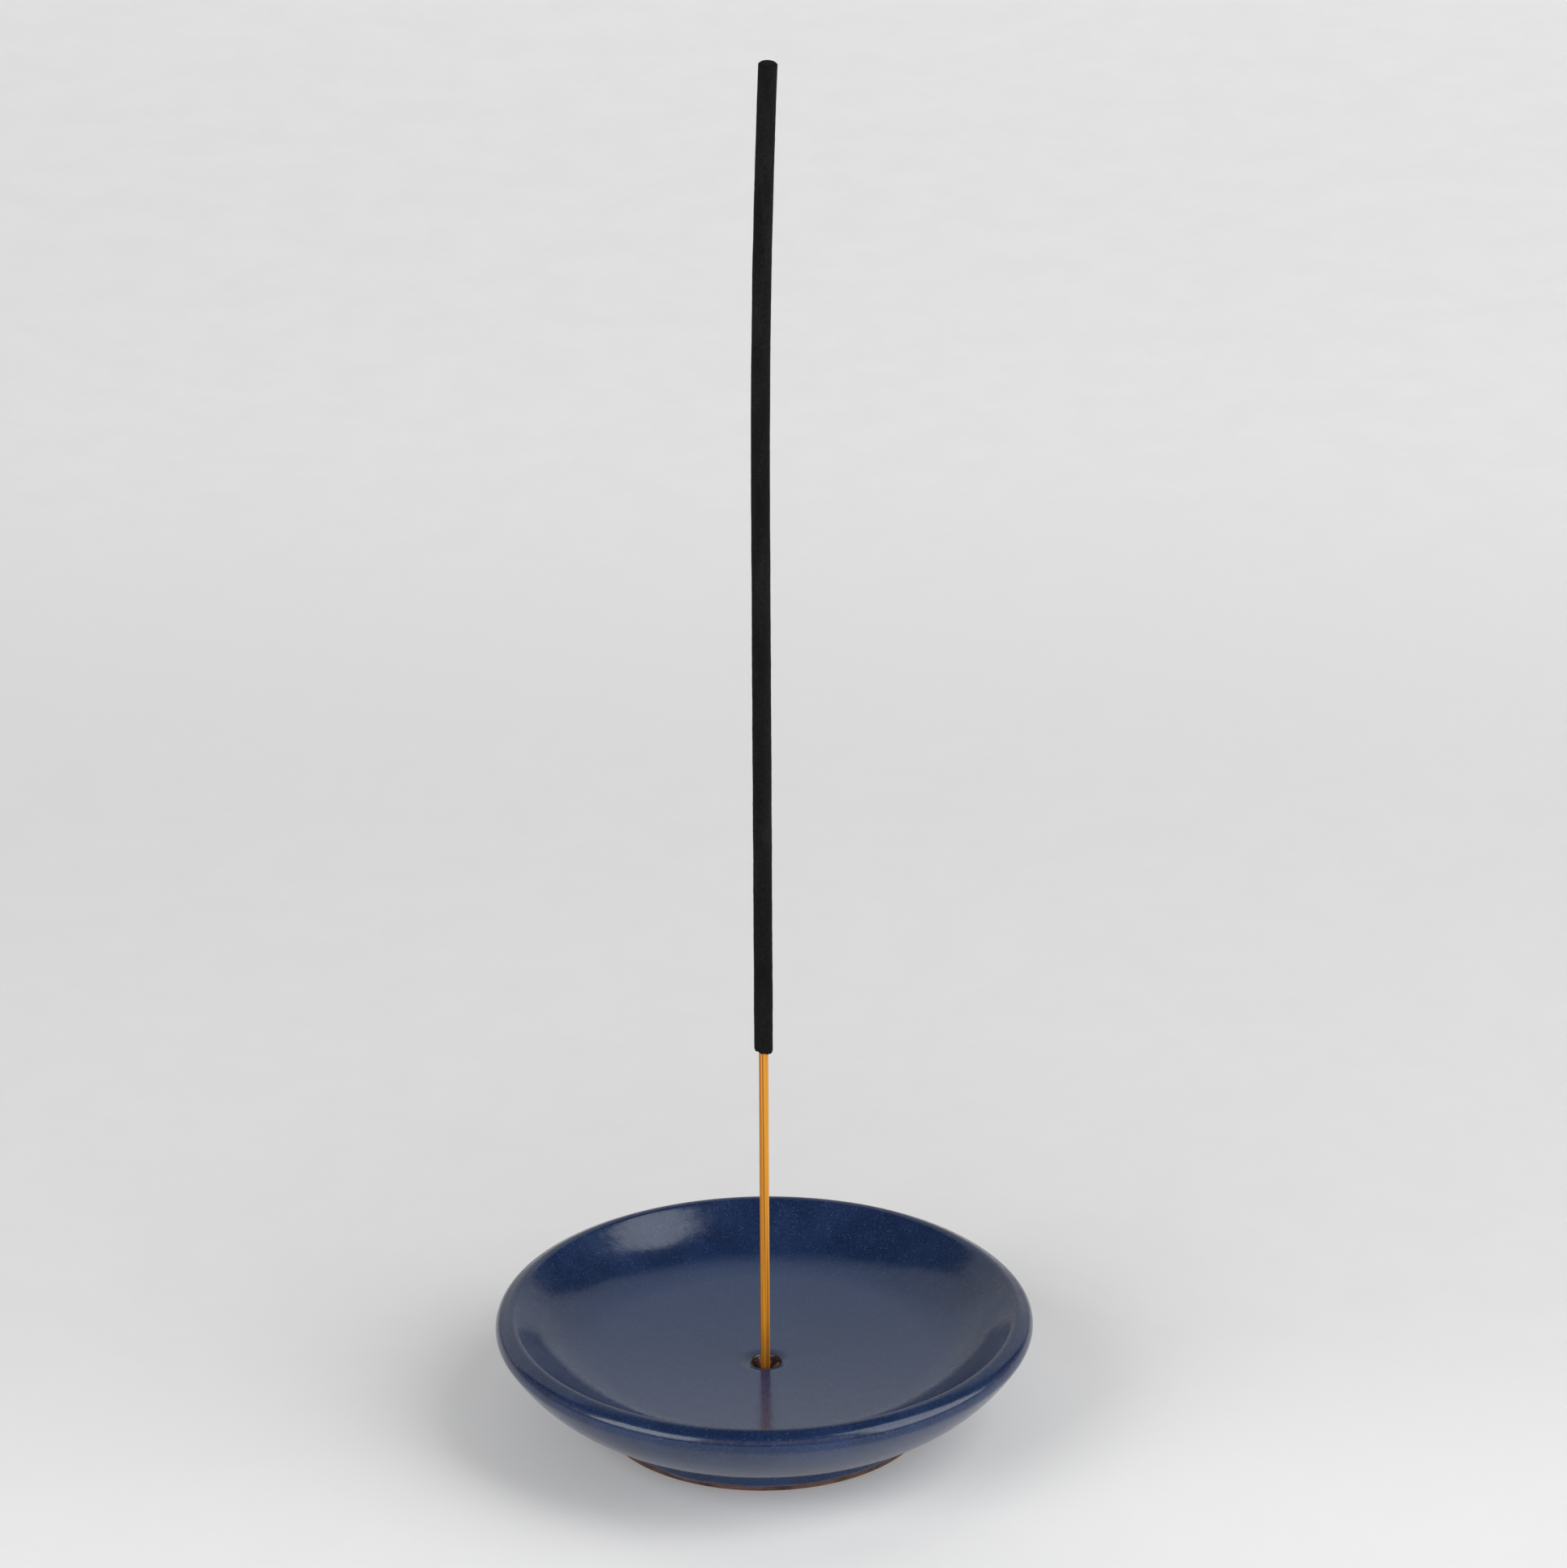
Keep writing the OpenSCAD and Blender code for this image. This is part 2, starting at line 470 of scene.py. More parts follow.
class OutlinePen:
    """Draws a half outline in the XZ plane by extruding and spinning one vertex."""

    def __init__(self, start: Point, step_mm: float) -> None:
        """Sets the pen down.

        Args:
            start: the first point, as radius and height in millimetres.
            step_mm: the longest edge it draws, in millimetres.
        """
        self.mesh = bmesh.new()
        self.step = step_mm
        self.tip = self.mesh.verts.new((start[0] * MM, 0.0, start[1] * MM))
        self.first = self.tip

    def line(self, point: Point, step_mm: float | None = None) -> None:
        """Draws a straight run.

        Args:
            point: where it ends, as radius and height in millimetres.
            step_mm: the longest edge, where it isn't the pen's own.
        """
        goal = Vector((point[0] * MM, 0.0, point[1] * MM))
        run = goal - self.tip.co
        count = max(1, math.ceil(run.length / ((step_mm or self.step) * MM)))
        for _ in range(count):
            made = bmesh.ops.extrude_vert_indiv(self.mesh, verts=[self.tip])
            self.tip = made["verts"][0]
            bmesh.ops.translate(self.mesh, verts=[self.tip], vec=run / count)

    def arc(self, arc: Arc, step_deg: float = 12.0) -> None:
        """Draws an arc, from a straight run to its start.

        Args:
            arc: the arc.
            step_deg: the widest turn of one edge, in degrees.
        """
        start = arc.at(arc.start)
        if (Vector((start[0] * MM, 0.0, start[1] * MM)) - self.tip.co).length > 0.002 * MM:
            self.line(start)
        turn = arc.end - arc.start
        length = abs(math.radians(turn)) * arc.radius
        steps = max(2, math.ceil(length / arc.step), math.ceil(abs(turn) / step_deg))
        made = bmesh.ops.spin(
            self.mesh, geom=[self.tip], cent=(arc.centre[0] * MM, 0.0, arc.centre[1] * MM),
            axis=(0.0, -1.0, 0.0), angle=math.radians(turn), steps=steps, use_duplicate=False)
        self.tip = next(e for e in made["geom_last"] if isinstance(e, bmesh.types.BMVert))

    def close(self) -> None:
        """Joins the last point to the first."""
        self.mesh.edges.new((self.tip, self.first))

    def turned(self, steps: int) -> bmesh.types.BMesh:
        """Turns the outline round the Z axis into a closed skin.

        Args:
            steps: how many steps a full turn has.

        Returns:
            The turned mesh, with its faces outwards.
        """
        bmesh.ops.spin(
            self.mesh, geom=self.mesh.verts[:] + self.mesh.edges[:], cent=(0, 0, 0), axis=(0, 0, 1),
            angle=math.tau, steps=steps, use_merge=True, use_duplicate=False)
        bmesh.ops.remove_doubles(self.mesh, verts=self.mesh.verts[:], dist=0.0005 * MM)
        bmesh.ops.recalc_face_normals(self.mesh, faces=self.mesh.faces[:])
        return self.mesh


def seen(mesh: bmesh.types.BMesh, name: str, body: Body, node: str,
         material: bpy.types.Material) -> bpy.types.Object:
    """Makes a finished piece of a mesh and puts it in the frame.

    Args:
        mesh: the piece's mesh, which is freed.
        name: the piece's name.
        body: the body it rides on.
        node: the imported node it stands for.
        material: its finish.

    Returns:
        The piece.
    """
    for face in mesh.faces:
        face.smooth = True
    data = bpy.data.meshes.new(name)
    mesh.to_mesh(data)
    mesh.free()
    data.materials.append(material)
    piece = bpy.data.objects.new(name, data)
    bpy.context.scene.collection.objects.link(piece)
    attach(piece, body.value)
    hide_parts(node)
    low, high = (Vector(f(v.co[i] for v in data.vertices) for i in range(3)) for f in (min, max))
    LOG.info("%s: %d faces, %s to %s mm", name, len(data.polygons),
             [round(c / MM, 1) for c in low], [round(c / MM, 1) for c in high])
    return piece


def smoothstep(low: float, high: float, value: float) -> float:
    """A smooth step from 0 to 1.

    Args:
        low: where it leaves 0.
        high: where it reaches 1.
        value: the input.

    Returns:
        The step's value.
    """
    t = min(1.0, max(0.0, (value - low) / (high - low)))
    return t * t * (3 - 2 * t)


def outward(point: Vector) -> Vector:
    """The level unit direction from the Z axis to a point.

    Args:
        point: the point.

    Returns:
        The direction.
    """
    return Vector((point.x, point.y, 0.0)).normalized()


# ------------------------------------------------------------------------ dish


@dataclass
class ThrownDish:
    """The thrown dish: its clay body and the glaze over it. Sizes are in millimetres."""

    dish_d: float = 102.0
    rim_h: float = 22.1
    floor_h: float = 11.7
    floor_r: float = 300.0
    wall_slope: float = 40.0
    wall_r: float = 22.0
    lip_w: float = 2.9
    lip_fall: float = 27.0
    lip_in_r: float = 1.4
    lip_out_r: float = 2.3
    flank_slope: float = 58.0
    foot_d: float = 62.4
    foot_h: float = 4.3
    foot_flare: float = 1.7
    foot_w: float = 5.0
    foot_round: float = 0.5
    recess_h: float = 3.4
    glaze_t: float = 0.4
    bare_h: float = 1.0
    mouth_d: float = 5.7
    mouth_depth: float = 2.2
    bore_r: float = 1.2
    hole_depth: float = 6.0
    funnel_r: float = 5.6
    funnel_drop: float = 0.30
    mouth_shift: float = 0.5
    mouth_chip: float = 0.22
    mouth_roll: float = 0.42
    throat_tear: float = 0.10
    hand_lift: float = 0.10
    hand_width: float = 38.0
    lip_sway: float = 0.12
    lip_lift: float = 0.08
    worn_ring: Point = (50.65, 20.55)
    glaze_wander: float = 0.3
    foot_wear: float = 0.05
    under_glaze: float = 0.01
    turn_steps: int = 288
    pieces: list[bpy.types.Object] = field(default_factory=list)

    def inside_wall(self) -> tuple[Point, float]:
        """Where the curve between floor and wall has its centre, and where it meets the floor.

        Returns:
            The centre, and the angle of the join with the floor.
        """
        s, c = math.sin(math.radians(self.wall_slope)), math.cos(math.radians(self.wall_slope))
        normal, run = Vector((-s, c)), Vector((c, s))
        top = self.lip_inside(0.0).at(90 + self.wall_slope)
        floor = Vector((0.0, self.floor_h + self.floor_r))
        off = floor.dot(normal) - (Vector(top).dot(normal) + self.wall_r)
        centre = floor - off * normal - run * math.sqrt((self.floor_r - self.wall_r) ** 2 - off ** 2)
        join = math.degrees(math.atan2(centre.y - floor.y, centre.x))
        return (centre.x, centre.y), join

    def lip_inside(self, g: float) -> Arc:
        """The lip's inner edge, from its falling top face to the inside wall.

        Args:
            g: the depth under the glaze's face.

        Returns:
            The arc.
        """
        centre = (self.dish_d / 2 - self.lip_w, self.rim_h - self.lip_in_r)
        return Arc(centre, self.lip_in_r - g, 90 - self.lip_fall, 90 + self.wall_slope, 0.25)

    def lip_outside(self, g: float) -> Arc:
        """The lip's outer edge, up to its falling top face.

        Args:
            g: the depth under the glaze's face.

        Returns:
            The arc.
        """
        fall = math.radians(self.lip_fall)
        inner, x = self.lip_inside(0.0), self.dish_d / 2 - self.lip_out_r
        face = inner.centre[0] * math.sin(fall) + inner.centre[1] * math.cos(fall) + inner.radius
        z = (face - self.lip_out_r - x * math.sin(fall)) / math.cos(fall)
        return Arc((x, z), self.lip_out_r - g, self.flank_slope - 90, 90 - self.lip_fall, 0.3)

    def flank(self, g: float) -> Arc:
        """The outside wall.

        Args:
            g: the depth under the glaze's face.

        Returns:
            The arc.
        """
        top = Vector(self.lip_outside(0.0).at(self.flank_slope - 90))
        foot = Vector((self.foot_d / 2 + self.foot_flare, self.foot_h))
        chord = top - foot
        half = self.flank_slope - math.degrees(math.atan2(chord.y, chord.x))
        radius = chord.length / (2 * math.sin(math.radians(half)))
        a = math.radians(self.flank_slope - 90)
        centre = (top.x - radius * math.cos(a), top.y - radius * math.sin(a))
        return Arc(centre, radius - g, self.flank_slope - 90 - 2 * half, self.flank_slope - 90)

    def skin(self, g: float, mouth_r: float) -> list[Arc]:
        """The outline from the outside wall over the lip to the hole's mouth.

        Args:
            g: the depth under the glaze's face.
            mouth_r: the radius at which the floor ends.

        Returns:
            The arcs, in order.
        """
        centre, join = self.inside_wall()
        floor_radius = self.floor_r + g
        floor = (0.0, self.floor_h + self.floor_r)
        near, mouth = (-90 + math.degrees(math.asin(r / floor_radius)) for r in (self.funnel_r, mouth_r))
        return [
            self.flank(g), self.lip_outside(g), self.lip_inside(g),
            Arc(centre, self.wall_r + g, self.wall_slope - 90, join),
            Arc(floor, floor_radius, join, near),
            Arc(floor, floor_radius, near, mouth, 0.2),
        ]

    def foot_side(self, height: float, g: float) -> Point:
        """A point on the foot ring's side.

        Args:
            height: its height.
            g: the depth under the glaze's face.

        Returns:
            Its radius from the axis and its height.
        """
        return (self.foot_d / 2 + self.foot_flare * height / self.foot_h - g, height)

    def wobble(self, point: Vector) -> Vector:
        """How far the thrower's hand left a point from the true turned shape.

        Args:
            point: the point, in metres.

        Returns:
            The shift, in metres, which fades out at the foot. Near the hole it draws the floor
            down into the mouth and the mouth to one side.
        """
        radius, z = math.hypot(point.x, point.y) / MM, point.z / MM
        around = outward(point)
        slow = noise.noise(Vector((point.x, point.y, 0.0)) / (self.hand_width * MM) + Vector((3.1, 7.7, 0.4)))
        turn = noise.noise(around * 1.6 + Vector((0.0, 0.0, 4.2)))
        share = smoothstep(6.0, 20.0, radius) * smoothstep(2.0, 9.0, z + 4)
        lift = self.hand_lift * slow * share
        lip = smoothstep(16.0, 21.0, z) * smoothstep(40.0, 47.0, radius)
        near = smoothstep(self.funnel_r, self.mouth_d / 2, radius)
        top = smoothstep(self.floor_h - self.mouth_depth, self.floor_h, z)
        drawn = self.mouth_shift * smoothstep(self.funnel_r, self.bore_r, radius) * top
        dip = self.funnel_drop * near * near * top
        shift = Vector((drawn, 0.0, lift + self.lip_lift * turn * lip - dip))
        return (shift + around * (self.lip_sway * turn * lip)) * MM

    def shape_glaze(self, mesh: bmesh.types.BMesh) -> None:
        """Lets the glaze's lower edge wander and chips the mouth's edge.

        It also stores where the glaze is thin, where it is scorched round the mouth with painted shade added
        on the far side, and where it has pooled.

        Args:
            mesh: the turned glaze.
        """
        thin = mesh.verts.layers.float.new("thin")
        scorch_and_shade = mesh.verts.layers.float.new("scorch_and_shade")
        pool = mesh.verts.layers.float.new("pool")
        mouth_r, (worn_r, worn_z) = self.mouth_d / 2, self.worn_ring
        for vert in mesh.verts:
            r, z = math.hypot(vert.co.x, vert.co.y) / MM, vert.co.z / MM
            around = outward(vert.co)
            crest = math.exp(-(((r - worn_r) / 0.3) ** 2 + ((z - worn_z) / 0.4) ** 2))
            foot = smoothstep(self.bare_h + 0.8, self.bare_h + 0.1, z)
            mouth = smoothstep(mouth_r + 0.55, mouth_r + 0.05, r)
            vert[thin] = min(1.0, 0.35 * crest + 0.9 * foot + 0.8 * mouth)
            ring = smoothstep(mouth_r + 1.5, mouth_r + 0.1, r)
            # Painted shade: the dark scorch ring round the mouth is made heavier on the far side
            back = 0.35 + 0.65 * smoothstep(-0.2, 0.9, around.y)
            vert[scorch_and_shade] = 0.85 * ring * back * (1 - 0.6 * mouth)
            vert[pool] = smoothstep(43.0, 31.0, r) * smoothstep(10.5, 11.5, z)
            vert.co += self.wobble(vert.co)
            if z < self.bare_h + 1.0:
                drop = noise.fractal(around * 3.2, 0.8, 2.0, 4) * self.glaze_wander
                vert.co.z += drop * MM * smoothstep(self.bare_h + 1.0, self.bare_h, z)
            if r < mouth_r + 1.2:
                chip = noise.fractal(around * 1.3 + Vector((0, 0, 5)), 0.8, 2.0, 3) * self.mouth_chip
                vert.co += around * (chip * MM * smoothstep(mouth_r + 1.2, mouth_r, r))

    def build_glaze(self, finish: NavyGlaze) -> None:
        """Builds the glaze coat, a closed skin from the bare line to the hole's mouth.

        Args:
            finish: the glaze's finish.
        """
        mouth = self.mouth_d / 2
        outer = self.skin(0.0, mouth + 0.45)
        inner = [a.back() for a in reversed(self.skin(self.glaze_t, mouth + 0.02))]
        pen = OutlinePen(self.foot_side(self.bare_h + 0.12, 0.1), 0.9)
        pen.line(self.foot_side(self.bare_h + 0.3, 0.0), 0.2)
        pen.line(self.foot_side(self.foot_h - 0.35, 0.0), 0.5)
        for arc in outer:
            pen.arc(arc)
        edge = outer[-1].at(outer[-1].end)
        pen.arc(Arc((edge[0], edge[1] - self.mouth_roll), self.mouth_roll, 90, 170), 20)
        for arc in inner:
            pen.arc(arc)
        pen.line(self.foot_side(self.foot_h - 0.2, self.glaze_t), 0.5)
        pen.line(self.foot_side(self.bare_h, self.glaze_t), 0.5)
        pen.close()
        mesh = pen.turned(self.turn_steps)
        self.shape_glaze(mesh)
        piece = seen(mesh, "navy_glaze_skin", Body.DISH, "glaze_coat", finish.make())
        self.pieces.append(piece)

    def build_clay(self, finish: BareClay) -> None:
        """Builds the clay body: the bare foot, the recess, the hole and what the glaze covers.

        Args:
            finish: the clay's finish.
        """
        side_r, base, deep = self.foot_d / 2, self.foot_round, self.glaze_t + self.under_glaze
        mouth_r, bottom = self.mouth_d / 2, self.floor_h - self.mouth_depth
        lean = math.degrees(math.atan2(self.foot_flare, self.foot_h))
        pen = OutlinePen((0.0, self.recess_h), 1.2)
        inner = side_r - self.foot_w
        pen.line((inner - 1.5, self.recess_h))
        pen.arc(Arc((inner - 1.5, self.recess_h - 1.5), 1.5, 90, 0))
        pen.line((inner, base))
        pen.arc(Arc((inner + base, base), base, 180, 270), 20)
        pen.arc(Arc((side_r - base, base), base, -90, -lean), 20)
        pen.line(self.foot_side(self.bare_h - 0.05, 0.0), 0.3)
        pen.line(self.foot_side(self.bare_h + 0.1, deep), 0.2)
        pen.line(self.foot_side(self.foot_h - 0.2, deep), 0.5)
        for arc in self.skin(deep, mouth_r):
            pen.arc(arc)
        pen.line((self.bore_r + 0.35, bottom + 0.35), 0.2)
        pen.line((self.bore_r, bottom), 0.3)
        pen.line((self.bore_r, self.floor_h - self.hole_depth), 0.5)
        pen.line((0.0, self.floor_h - self.hole_depth), 0.4)
        mesh = pen.turned(self.turn_steps)
        throat = mesh.verts.layers.float.new("throat")
        for vert in mesh.verts:
            r, z = math.hypot(vert.co.x, vert.co.y) / MM, vert.co.z / MM
            vert[throat] = smoothstep(mouth_r + 0.8, mouth_r, r) * smoothstep(9.6, 10.4, z)
            vert.co += self.wobble(vert.co)
            if r < mouth_r + 0.3 and z > bottom + 0.1:
                tear = noise.fractal(vert.co / (1.3 * MM), 0.8, 2.0, 4) * self.throat_tear
                vert.co += outward(vert.co) * tear * MM
            elif 0.3 < z < self.bare_h + 0.1 and r > side_r - 1:
                vert.co += outward(vert.co) * (noise.noise(vert.co / (1.1 * MM)) * self.foot_wear * MM)
        piece = seen(mesh, "thrown_clay_body", Body.DISH, "dish_clay", finish.make())
        self.pieces.append(piece)


# ----------------------------------------------------------------------- stick


@dataclass
class IncenseStick:
    """The incense stick: a bamboo core and the paste round it. Sizes are in millimetres."""

    foot_z: float = 5.8
    aside: float = 0.15
    length: float = 271.0
    core_d: float = 1.8
    coat_len: float = 200.0
    coat_d: float = 3.6
    coat_cap: float = 0.8
    tip_bevel: float = 0.35
    lean: float = 0.2
    bow_len: float = 87.0
    bow: float = 1.8
    foot_bevel: float = 0.15
    fibre_depth: float = 0.09
    core_inset: float = 0.01
    grain_depth: float = 0.028
    lump_depth: float = 0.035
    coat_inset: float = 0.03
    rag_height: float = 2.2
    core_rings: int = 60
    core_sides: int = 40
    coat_rings: int = 220
    coat_sides: int = 56
    pieces: list[bpy.types.Object] = field(default_factory=list)

    @property
    def coat_low(self) -> float:
        """How far up the stick the coat begins."""
        return self.length - self.coat_len

    @property
    def straight(self) -> float:
        """How far up the stick the bow begins."""
        return self.length - self.bow_len

    def along(self, up: float) -> Matrix:
        """The place and turn of a ring of the stick.

        Args:
            up: the distance up the stick from its foot, in millimetres.

        Returns:
            The matrix that puts a ring drawn round the origin there.
        """
        radius = (self.bow_len ** 2 + self.bow ** 2) / (2 * self.bow)
        angle = max(0.0, up - self.straight) / radius
        out = radius * (1 - math.cos(angle))
        rise = min(up, self.straight) + radius * math.sin(angle)
        seat = Matrix.Translation((self.aside * MM, 0.0, self.foot_z * MM))
        seat = seat @ Matrix.Rotation(math.radians(self.lean), 4, "Y")
        return seat @ Matrix.Translation((out * MM, 0.0, rise * MM)) @ Matrix.Rotation(angle, 4, "Y")

    def swept(self, stations: list[Point], sides: int) -> bmesh.types.BMesh:
        """Sweeps a round section up the stick, one extruded ring after another.

        Args:
            stations: the distance up the stick and the radius of each ring, in millimetres.
            sides: how many sides the section has.

        Returns:
            The swept mesh, closed at both ends.
        """
        mesh = bmesh.new()
        height, radius = stations[0]
        bmesh.ops.create_circle(mesh, cap_ends=True, segments=sides, radius=1.0)
        place = self.along(height) @ Matrix.Diagonal((radius * MM, radius * MM, 1.0, 1.0))
        bmesh.ops.transform(mesh, matrix=place, verts=mesh.verts[:])
        foot = mesh.faces[:]
        cap = foot
        for height, radius in stations[1:]:
            made = bmesh.ops.extrude_face_region(mesh, geom=cap)["geom"]
            if cap is not foot:
                bmesh.ops.delete(mesh, geom=[face for face in cap if face.is_valid], context="FACES_ONLY")
            cap = [e for e in made if isinstance(e, bmesh.types.BMFace)]
            verts = [e for e in made if isinstance(e, bmesh.types.BMVert)]
            following = self.along(height) @ Matrix.Diagonal((radius * MM, radius * MM, 1.0, 1.0))
            bmesh.ops.transform(mesh, matrix=following @ place.inverted(), verts=verts)
            place = following
        bmesh.ops.recalc_face_normals(mesh, faces=mesh.faces[:])
        return mesh

    def build_core(self, finish: AmberBamboo) -> None:
        """Builds the bamboo core, with fibres that stand a little proud.

        Args:
            finish: the bamboo's finish.
        """
        r = self.core_d / 2
        stations = [(0.0, r - 0.12), (self.foot_bevel, r)]
        rise = self.coat_low / self.core_rings
        stations += [(self.foot_bevel + (i + 1) * rise, r) for i in range(self.core_rings)]
        stations += [(self.coat_low + i * 20.0, r) for i in range(1, 10)]
        stations.append((self.length - self.coat_cap, r))
        mesh = self.swept(stations, self.core_sides)
        for vert in mesh.verts:
            axis = self.along(vert.co.z / MM - self.foot_z).translation
            out = Vector((vert.co.x - axis.x, vert.co.y, 0.0))
            if out.length < 0.3 * r * MM:
                continue
            side = out.normalized()
            fibre = noise.noise(Vector((side.x * 3.4, side.y * 3.4, vert.co.z / (160 * MM))))
            vert.co += side * (min(0.0, fibre) * self.fibre_depth - self.core_inset) * MM
        piece = seen(mesh, "bamboo_core_splint", Body.STICK, "bamboo_core", finish.make())
        self.pieces.append(piece)

    def build_coat(self, finish: CharcoalPaste) -> None:
        """Builds the paste coat, ragged at its lower end and bevelled at its top.

        Args:
            finish: the paste's finish.
        """
        r, low, top = self.coat_d / 2, self.coat_low, self.length
        inner = self.core_d / 2 + 0.005
        stations = [(low + 1.4, inner), (low + 0.15, inner + 0.05), (low, inner + 0.35),
                    (low + 0.02, r - 0.28), (low + 0.2, r - 0.1), (low + 0.55, r - 0.02)]
        count, start = self.coat_rings, low + 1.0
        span = top - self.tip_bevel - start
        stations += [(start + i * span / count, r) for i in range(count + 1)]
        stations += [(top - 0.1, r - 0.24), (top, r - self.tip_bevel - 0.1), (top, 0.6 * r)]
        mesh = self.swept(stations, self.coat_sides)
        for vert in mesh.verts:
            up = vert.co.z / MM - self.foot_z
            axis = self.along(up).translation
            out = Vector((vert.co.x - axis.x, vert.co.y, 0.0))
            if out.length < (inner + 0.1) * MM and up < low + 2:
                continue
            side = out.normalized()
            grain = noise.fractal(vert.co / (0.9 * MM), 0.9, 2.0, 3)
            lump = noise.noise(Vector((out.x / (3 * MM), out.y / (3 * MM), vert.co.z / (7 * MM))))
            vert.co += side * (self.grain_depth * grain + self.lump_depth * lump - self.coat_inset) * MM
            rag = smoothstep(low + self.rag_height, low, up)
            edge = noise.fractal(side * 2.4 + Vector((0, 0, 2.0)), 0.7, 2.0, 4)
            vert.co.z += (0.42 * edge - 0.28 * side.x + 0.35) * rag * MM
        piece = seen(mesh, "charcoal_paste_coat", Body.STICK, "incense_coat", finish.make())
        self.pieces.append(piece)


# ---------------------------------------------------------------------- studio


@dataclass(frozen=True)
class Panel:
    """One upright studio panel that faces the dish. Lengths are in metres."""

    name: str
    around: float
    distance: float
    width: float
    low: float
    high: float
    radiance: float
    mirrored: bool = True

    def stand(self) -> bpy.types.Object:
        """Puts the panel up, at its angle round the dish from +X towards +Y.

        One that isn't mirrored lights what it faces, but doesn't show in glossy surfaces.

        Returns:
            The light.
        """
        lamp = bpy.data.lights.new(self.name, "AREA")
        lamp.shape = "RECTANGLE"
        lamp.size, lamp.size_y = self.width, self.high - self.low
        lamp.energy = self.radiance * math.pi * lamp.size * lamp.size_y
        light = bpy.data.objects.new(self.name, lamp)
        light.visible_glossy = self.mirrored
        bpy.context.scene.collection.objects.link(light)
        away = Vector((math.cos(math.radians(self.around)), math.sin(math.radians(self.around)), 0.0))
        light.location = away * self.distance + Vector((0.0, 0.0, (self.low + self.high) / 2))
        light.rotation_euler = away.to_track_quat("Z", "Y").to_euler()
        return light


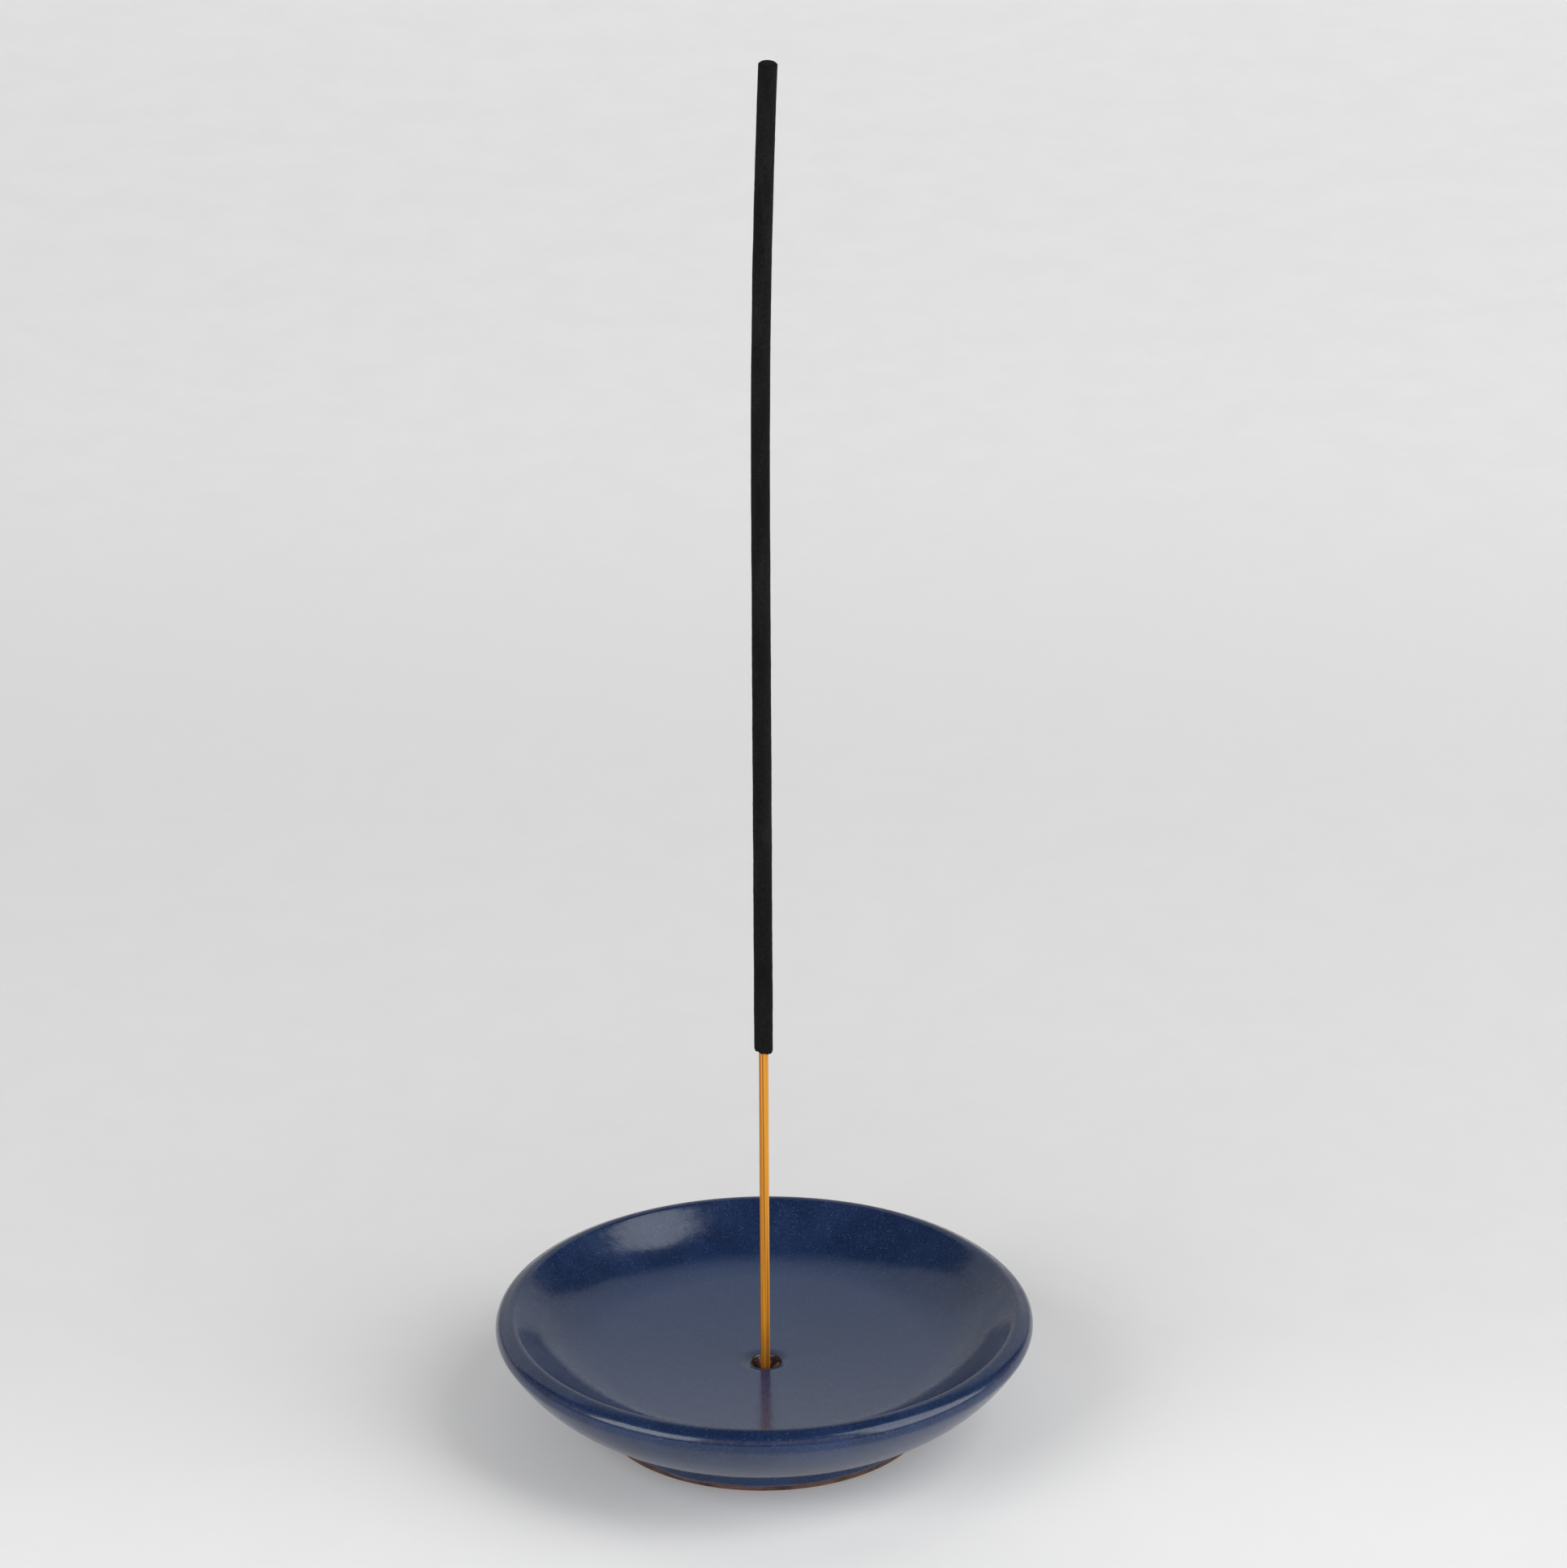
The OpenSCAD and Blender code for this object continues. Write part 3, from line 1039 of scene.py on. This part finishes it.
@dataclass
class Studio:
    """The pale table and its cove, the lights and the camera. Lengths are in metres."""

    camera_distance: float = 2.448
    camera_height: float = 27.534
    camera_roll: float = -0.497
    focal_share: float = 8.20554
    drop_share: float = 0.37178
    side_share: float = -0.01534
    aim_height: float = 0.0102
    sensor_mm: float = 36.0
    table_side: float = 3.0
    cove_y: float = 1.2
    cove_r: float = 0.5
    cove_turn: float = 80.0
    room_glow: float = 0.07
    panels: tuple[Panel, ...] = (
        Panel("right_softbox", -17.0, 1.10, 1.15, 0.30, 2.70, 2.9),
        Panel("left_softbox", 217.0, 1.10, 0.95, 0.32, 1.25, 3.5),
        Panel("back_panel", 96.0, 1.15, 2.70, 0.30, 2.10, 0.60),
        Panel("back_fade_low", 96.0, 1.15, 2.20, 2.10, 2.70, 0.42),
        Panel("back_fade_high", 96.0, 1.15, 1.50, 2.70, 3.80, 0.22),
        Panel("far_wash", 90.0, 1.25, 2.60, 0.02, 0.40, 2.2, False),
        Panel("left_fill", 217.0, 1.20, 1.00, 0.04, 0.30, 4.2, False),
        Panel("front_left_fill", 259.0, 1.20, 0.90, 0.04, 0.32, 7.2, False),
        Panel("front_right_fill", 298.0, 1.20, 0.90, 0.04, 0.32, 7.2, False),
        Panel("right_fill", 337.0, 1.20, 1.00, 0.04, 0.32, 4.5, False),
        Panel("far_right_fill", 20.0, 1.20, 1.00, 0.04, 0.32, 4.0, False),
    )

    def lay_table(self, finish: PaleTable) -> None:
        """Lays the table, which curves up into a cove behind the dish.

        Args:
            finish: the table's finish.
        """
        mesh = bmesh.new()
        side = self.table_side
        corner = mesh.verts.new((-side, -side, 0.0))
        made = bmesh.ops.extrude_vert_indiv(mesh, verts=[corner])["verts"]
        bmesh.ops.translate(mesh, verts=made, vec=(0.0, side + self.cove_y, 0.0))
        bmesh.ops.spin(mesh, geom=made, cent=(-side, self.cove_y, self.cove_r), axis=(1, 0, 0),
                       angle=math.radians(self.cove_turn), steps=24, use_duplicate=False)
        made = bmesh.ops.extrude_edge_only(mesh, edges=mesh.edges[:])["geom"]
        made = [e for e in made if isinstance(e, bmesh.types.BMVert)]
        bmesh.ops.translate(mesh, verts=made, vec=(2 * side, 0.0, 0.0))
        bmesh.ops.recalc_face_normals(mesh, faces=mesh.faces[:])
        for face in mesh.faces:
            face.smooth = True
        data = bpy.data.meshes.new("pale_table")
        mesh.to_mesh(data)
        mesh.free()
        data.materials.append(finish.make())
        table = bpy.data.objects.new("pale_table", data)
        bpy.context.scene.collection.objects.link(table)

    def light(self) -> None:
        """Puts up the lights and a dim room."""
        for panel in self.panels:
            panel.stand()
        world = bpy.data.worlds.new("room")
        world.use_nodes = True
        glow = world.node_tree.nodes["Background"].inputs
        glow["Color"].default_value = (1.0, 1.0, 1.0, 1.0)
        glow["Strength"].default_value = self.room_glow
        bpy.context.scene.world = world
        bpy.context.scene.view_settings.view_transform = "Standard"

    def set_camera(self) -> None:
        """Sets the camera, square on, with a long lens."""
        up = math.radians(self.camera_height)
        pitch = up - math.atan2(self.drop_share, self.focal_share)
        roll = math.radians(self.camera_roll)
        right = Vector((1.0, 0.0, 0.0))
        ahead = Vector((0.0, math.cos(pitch), -math.sin(pitch)))
        over = Vector((0.0, math.sin(pitch), math.cos(pitch)))
        x_axis = math.cos(roll) * right + math.sin(roll) * over
        y_axis = math.cos(roll) * over - math.sin(roll) * right
        turn = Matrix((x_axis, y_axis, -ahead)).transposed().to_4x4()
        side = -self.side_share / self.focal_share * self.camera_distance
        where = Vector((side, -self.camera_distance * math.cos(up),
                        self.camera_distance * math.sin(up) + self.aim_height))
        data = bpy.data.cameras.new("camera")
        data.sensor_fit = "HORIZONTAL"
        data.sensor_width = self.sensor_mm
        data.lens = self.focal_share * self.sensor_mm
        data.clip_end = 30.0
        camera = bpy.data.objects.new("camera", data)
        camera.matrix_world = Matrix.Translation(where) @ turn
        bpy.context.scene.collection.objects.link(camera)
        bpy.context.scene.camera = camera


def main() -> None:
    """Builds the studio, the dish and the stick in order, and reports each piece."""
    logging.basicConfig(level=logging.INFO, format="%(name)s: %(message)s")
    studio = Studio()
    studio.set_camera()
    studio.lay_table(PaleTable())
    studio.light()
    dish = ThrownDish()
    dish.build_clay(BareClay())
    dish.build_glaze(NavyGlaze())
    stick = IncenseStick()
    stick.build_core(AmberBamboo())
    stick.build_coat(CharcoalPaste())
    bpy.context.view_layer.update()


if __name__ == "__main__":
    main()
